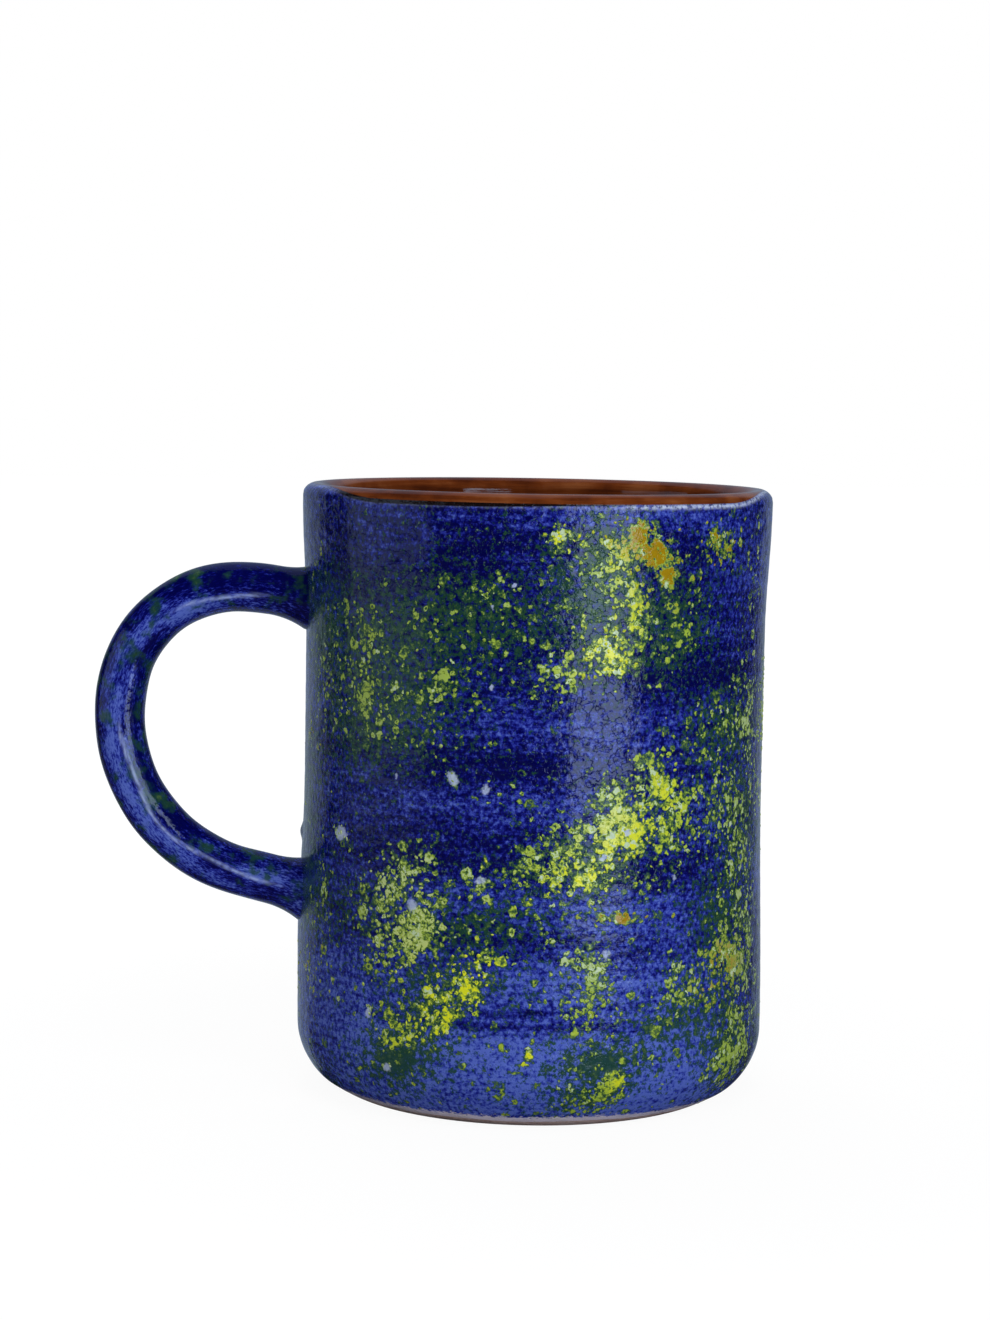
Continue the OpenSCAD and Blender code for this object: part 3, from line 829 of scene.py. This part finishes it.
fleck_print = bpy.data.node_groups.new("fleck_print", "GeometryNodeTree")
fleck_print.interface.new_socket("Geometry", in_out="INPUT", socket_type="NodeSocketGeometry")
fleck_input = {
    label: fleck_print.interface.new_socket(label, in_out="INPUT", socket_type="NodeSocket" + kind)
    for label, kind in (
        ("Spacing", "Float"), ("Crowd", "Float"), ("Smallest", "Vector"), ("Largest", "Vector"),
        ("Seed", "Int"), ("Finish", "Material"),
    )
}
fleck_print.interface.new_socket("Geometry", in_out="OUTPUT", socket_type="NodeSocketGeometry")
given = fleck_print.nodes.new("NodeGroupInput").outputs
density = node(fleck_print, "GeometryNodeInputNamedAttribute", "fleck").outputs[0]
density = maths(fleck_print, "POWER", density, 3.0)
spots = node(
    fleck_print, "GeometryNodeDistributePointsOnFaces", given["Geometry"],
    settings={"distribute_method": "POISSON"}, Distance_Min=given["Spacing"], Density_Max=given["Crowd"],
    Density_Factor=density, Seed=given["Seed"],
).outputs
bead = node(fleck_print, "GeometryNodeMeshIcoSphere", Radius=1.0, Subdivisions=1).outputs[0]
turn_by = node(
    fleck_print, "FunctionNodeRandomValue", None, None, 0.0, 2 * math.pi, Seed=given["Seed"],
).outputs[1]
turn_by = node(fleck_print, "ShaderNodeCombineXYZ", Z=turn_by).outputs[0]
turn_by = node(fleck_print, "FunctionNodeEulerToRotation", turn_by).outputs[0]
lying = node(
    fleck_print, "FunctionNodeRotateRotation", spots["Rotation"], turn_by,
    settings={"rotation_space": "LOCAL"},
).outputs[0]
size = node(
    fleck_print, "FunctionNodeRandomValue", given["Smallest"], given["Largest"], Seed=given["Seed"],
    settings={"data_type": "FLOAT_VECTOR"},
).outputs[0]
beads = node(
    fleck_print, "GeometryNodeInstanceOnPoints", spots["Points"], Instance=bead, Rotation=lying, Scale=size,
)
solid = node(fleck_print, "GeometryNodeRealizeInstances", beads.outputs[0]).outputs[0]
smooth = node(fleck_print, "GeometryNodeSetShadeSmooth", solid).outputs[0]
painted = node(fleck_print, "GeometryNodeSetMaterial", smooth, Material=given["Finish"]).outputs[0]
node(fleck_print, "NodeGroupOutput", painted)

fleck_paint, tree, shader, place = new_material("raised_fleck_paint")
tint = node(tree, "ShaderNodeAttribute", settings={"attribute_name": "fleck_tint"}).outputs["Color"]
grain = noise(tree, place, 1.5, 3.0, 0.65)
colour = laid_over(tree, step_between(tree, grain, 0.36, 0.46), LEAF_GREEN, LIME)
colour = laid_over(tree, step_between(tree, grain, 0.46, 0.56), colour, tint)
colour = laid_over(tree, step_between(tree, grain, 0.61, 0.72, 0.0, 0.6), colour, PALE)
tree.links.new(colour, shader.inputs["Base Color"])
shader.inputs["Roughness"].default_value = 0.12

flecks = bpy.data.objects.new("raised_flecks", coat.data.copy())
bpy.context.collection.objects.link(flecks)
made_plain(flecks, fleck_print, {
    fleck_input["Spacing"]: FLECK_SPACING * MM,
    fleck_input["Crowd"]: FLECK_CROWD,
    fleck_input["Smallest"]: [v * MM for v in FLECK_SMALLEST],
    fleck_input["Largest"]: [v * MM for v in FLECK_LARGEST],
    fleck_input["Seed"]: FLECK_SEED,
    fleck_input["Finish"]: fleck_paint,
})
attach(flecks, "root")

# Stage: a plain pale floor, soft studio light and the camera at the photograph's angle.
# The floor is a grey card that the camera sees as white, so the glaze doesn't mirror a bright sheet.
# Only the far end of the room is bright, and two panels lay the soft veils on the wall's sides.
FLOOR_SIZE = 6.0
CAMERA_DISTANCE = 0.507
CAMERA_HEIGHT = 0.123
CAMERA_TURN = math.radians(6.0)
CAMERA_YAW = 0.0137
CAMERA_PITCH = 0.0959
CAMERA_ROLL = 0.0168
FOCAL_LENGTH = 79.6
SENSOR_HEIGHT = 36.0
DAYLIGHT = (0.58, 0.75, 1.0)
BRIGHT_TURN = math.radians(2.0)
BRIGHT_HALF = math.radians(40.0)
BRIGHT_BLUR = 0.15
MUG_HALF = 0.04
FLOOR_SHINE = 0.37
FLOOR_GREY = 0.62
FLOOR_GREY_MIRRORED = 0.04
CONTACT_WHITE = 0.95
CONTACT_NEAR = 0.06
CONTACT_FAR = 0.3
ROOM_SHINE = 0.32
ROOM_DIM = 0.02

camera_data = bpy.data.cameras.new("camera")
camera_data.sensor_fit = "VERTICAL"
camera_data.sensor_height = SENSOR_HEIGHT
camera_data.lens = FOCAL_LENGTH
camera = bpy.data.objects.new("camera", camera_data)
bpy.context.collection.objects.link(camera)
spot = Vector((
    -CAMERA_DISTANCE * math.sin(CAMERA_TURN),
    -CAMERA_DISTANCE * math.cos(CAMERA_TURN),
    CAMERA_HEIGHT,
))
camera.matrix_world = (
    Matrix.Translation(spot)
    @ Matrix.Rotation(CAMERA_YAW - CAMERA_TURN, 4, "Z")
    @ Matrix.Rotation(math.pi / 2 - CAMERA_PITCH, 4, "X")
    @ Matrix.Rotation(CAMERA_ROLL, 4, "Z")
)
bpy.context.scene.camera = camera
bpy.context.scene.view_settings.view_transform = "Standard"

floor_mesh = bpy.data.meshes.new("floor")
half = FLOOR_SIZE / 2
corners = [(-half, -half, 0), (half, -half, 0), (half, half, 0), (-half, half, 0)]
floor_mesh.from_pydata(corners, [], [(0, 1, 2, 3)])
floor = bpy.data.objects.new("floor", floor_mesh)
bpy.context.collection.objects.link(floor)


def bright_side(tree, vector):
    """1 where a direction from the mug points to the bright end of the room, else 0."""
    level = stretched(tree, vector, (1.0, 1.0, 0.0))
    unit = node(tree, "ShaderNodeVectorMath", level, settings={"operation": "NORMALIZE"}).outputs[0]
    bright_way = (-math.sin(BRIGHT_TURN), math.cos(BRIGHT_TURN), 0.0)
    ahead = node(tree, "ShaderNodeVectorMath", unit, bright_way, settings={"operation": "DOT_PRODUCT"})
    outer = math.cos(BRIGHT_HALF + BRIGHT_BLUR)
    inner = math.cos(BRIGHT_HALF - BRIGHT_BLUR)
    return step_between(tree, ahead.outputs["Value"], outer, inner)


card = bpy.data.materials.new("grey_card")
card.use_nodes = True
tree = card.node_tree
tree.nodes.clear()
ray = node(tree, "ShaderNodeLightPath").outputs
spot_on_floor = node(tree, "ShaderNodeTexCoord").outputs["Object"]
far_off = node(tree, "ShaderNodeVectorMath", spot_on_floor, settings={"operation": "LENGTH"})
white = step_between(tree, far_off.outputs["Value"], CONTACT_NEAR, CONTACT_FAR, CONTACT_WHITE, 1.0)
white = maths(tree, "MULTIPLY", ray["Is Camera Ray"], white)
across = node(tree, "ShaderNodeSeparateXYZ", spot_on_floor).outputs[0]
under_mug = node(tree, "ShaderNodeClamp", across, -MUG_HALF, MUG_HALF).outputs[0]
under_mug = node(tree, "ShaderNodeCombineXYZ", under_mug).outputs[0]
from_side = node(
    tree, "ShaderNodeVectorMath", spot_on_floor, under_mug, settings={"operation": "SUBTRACT"},
).outputs[0]
mirrored = maths(tree, "MULTIPLY", ray["Is Glossy Ray"], bright_side(tree, from_side))
bounced = laid_over(tree, ray["Is Diffuse Ray"], (FLOOR_GREY_MIRRORED,) * 3, (FLOOR_GREY,) * 3)
grey = node(tree, "ShaderNodeBsdfDiffuse", bounced).outputs[0]
shine = maths(tree, "MULTIPLY_ADD", mirrored, FLOOR_SHINE, white)
light = laid_over(tree, ray["Is Camera Ray"], DAYLIGHT, (1.0, 1.0, 1.0))
glow = node(tree, "ShaderNodeEmission", light, shine).outputs[0]
lit = node(tree, "ShaderNodeAddShader", grey, glow).outputs[0]
tree.links.new(lit, node(tree, "ShaderNodeOutputMaterial").inputs[0])
floor_mesh.materials.append(card)

world = bpy.data.worlds.new("studio")
bpy.context.scene.world = world
world.use_nodes = True
tree = world.node_tree
background = tree.nodes["Background"]
seen = node(tree, "ShaderNodeLightPath").outputs["Is Camera Ray"]
room = bright_side(tree, node(tree, "ShaderNodeTexCoord").outputs["Generated"])
room = maths(tree, "MULTIPLY_ADD", room, ROOM_SHINE, ROOM_DIM)
tree.links.new(maths(tree, "MAXIMUM", seen, room), background.inputs["Strength"])
tree.links.new(laid_over(tree, seen, DAYLIGHT, (1.0, 1.0, 1.0)), background.inputs["Color"])


def softbox(name, place, aim, width, height, watts):
    """A soft rectangular lamp that the camera doesn't see."""
    lamp = bpy.data.lights.new(name, "AREA")
    lamp.shape = "RECTANGLE"
    lamp.size = width
    lamp.size_y = height
    lamp.energy = watts
    holder = bpy.data.objects.new(name, lamp)
    bpy.context.collection.objects.link(holder)
    facing = (Vector(aim) - Vector(place)).to_track_quat("-Z", "Y")
    holder.matrix_world = Matrix.Translation(place) @ facing.to_matrix().to_4x4()
    holder.visible_camera = False
    return holder


key = softbox("key", place=(0.15, -0.8, 0.95), aim=(0, 0, 0.05), width=0.9, height=0.9, watts=12.0)
fill = softbox("fill", place=(-0.3, 0.9, 0.8), aim=(0, 0, 0.05), width=0.9, height=0.9, watts=8.0)
top = softbox("top", place=(0, 0.1, 1.3), aim=(0, 0, 0), width=0.6, height=0.6, watts=5.0)
for lamp in (key, fill, top):
    lamp.visible_glossy = False
left_panel = softbox(
    "left_panel", place=(-0.43, -0.08, 0.13), aim=(0, -0.08, 0.13), width=0.39, height=0.26, watts=0.20)
right_panel = softbox(
    "right_panel", place=(0.12, -0.256, 0.075), aim=(0, 0, 0.075), width=0.14, height=0.15, watts=0.24)
for panel in (left_panel, right_panel):
    panel.data.color = DAYLIGHT
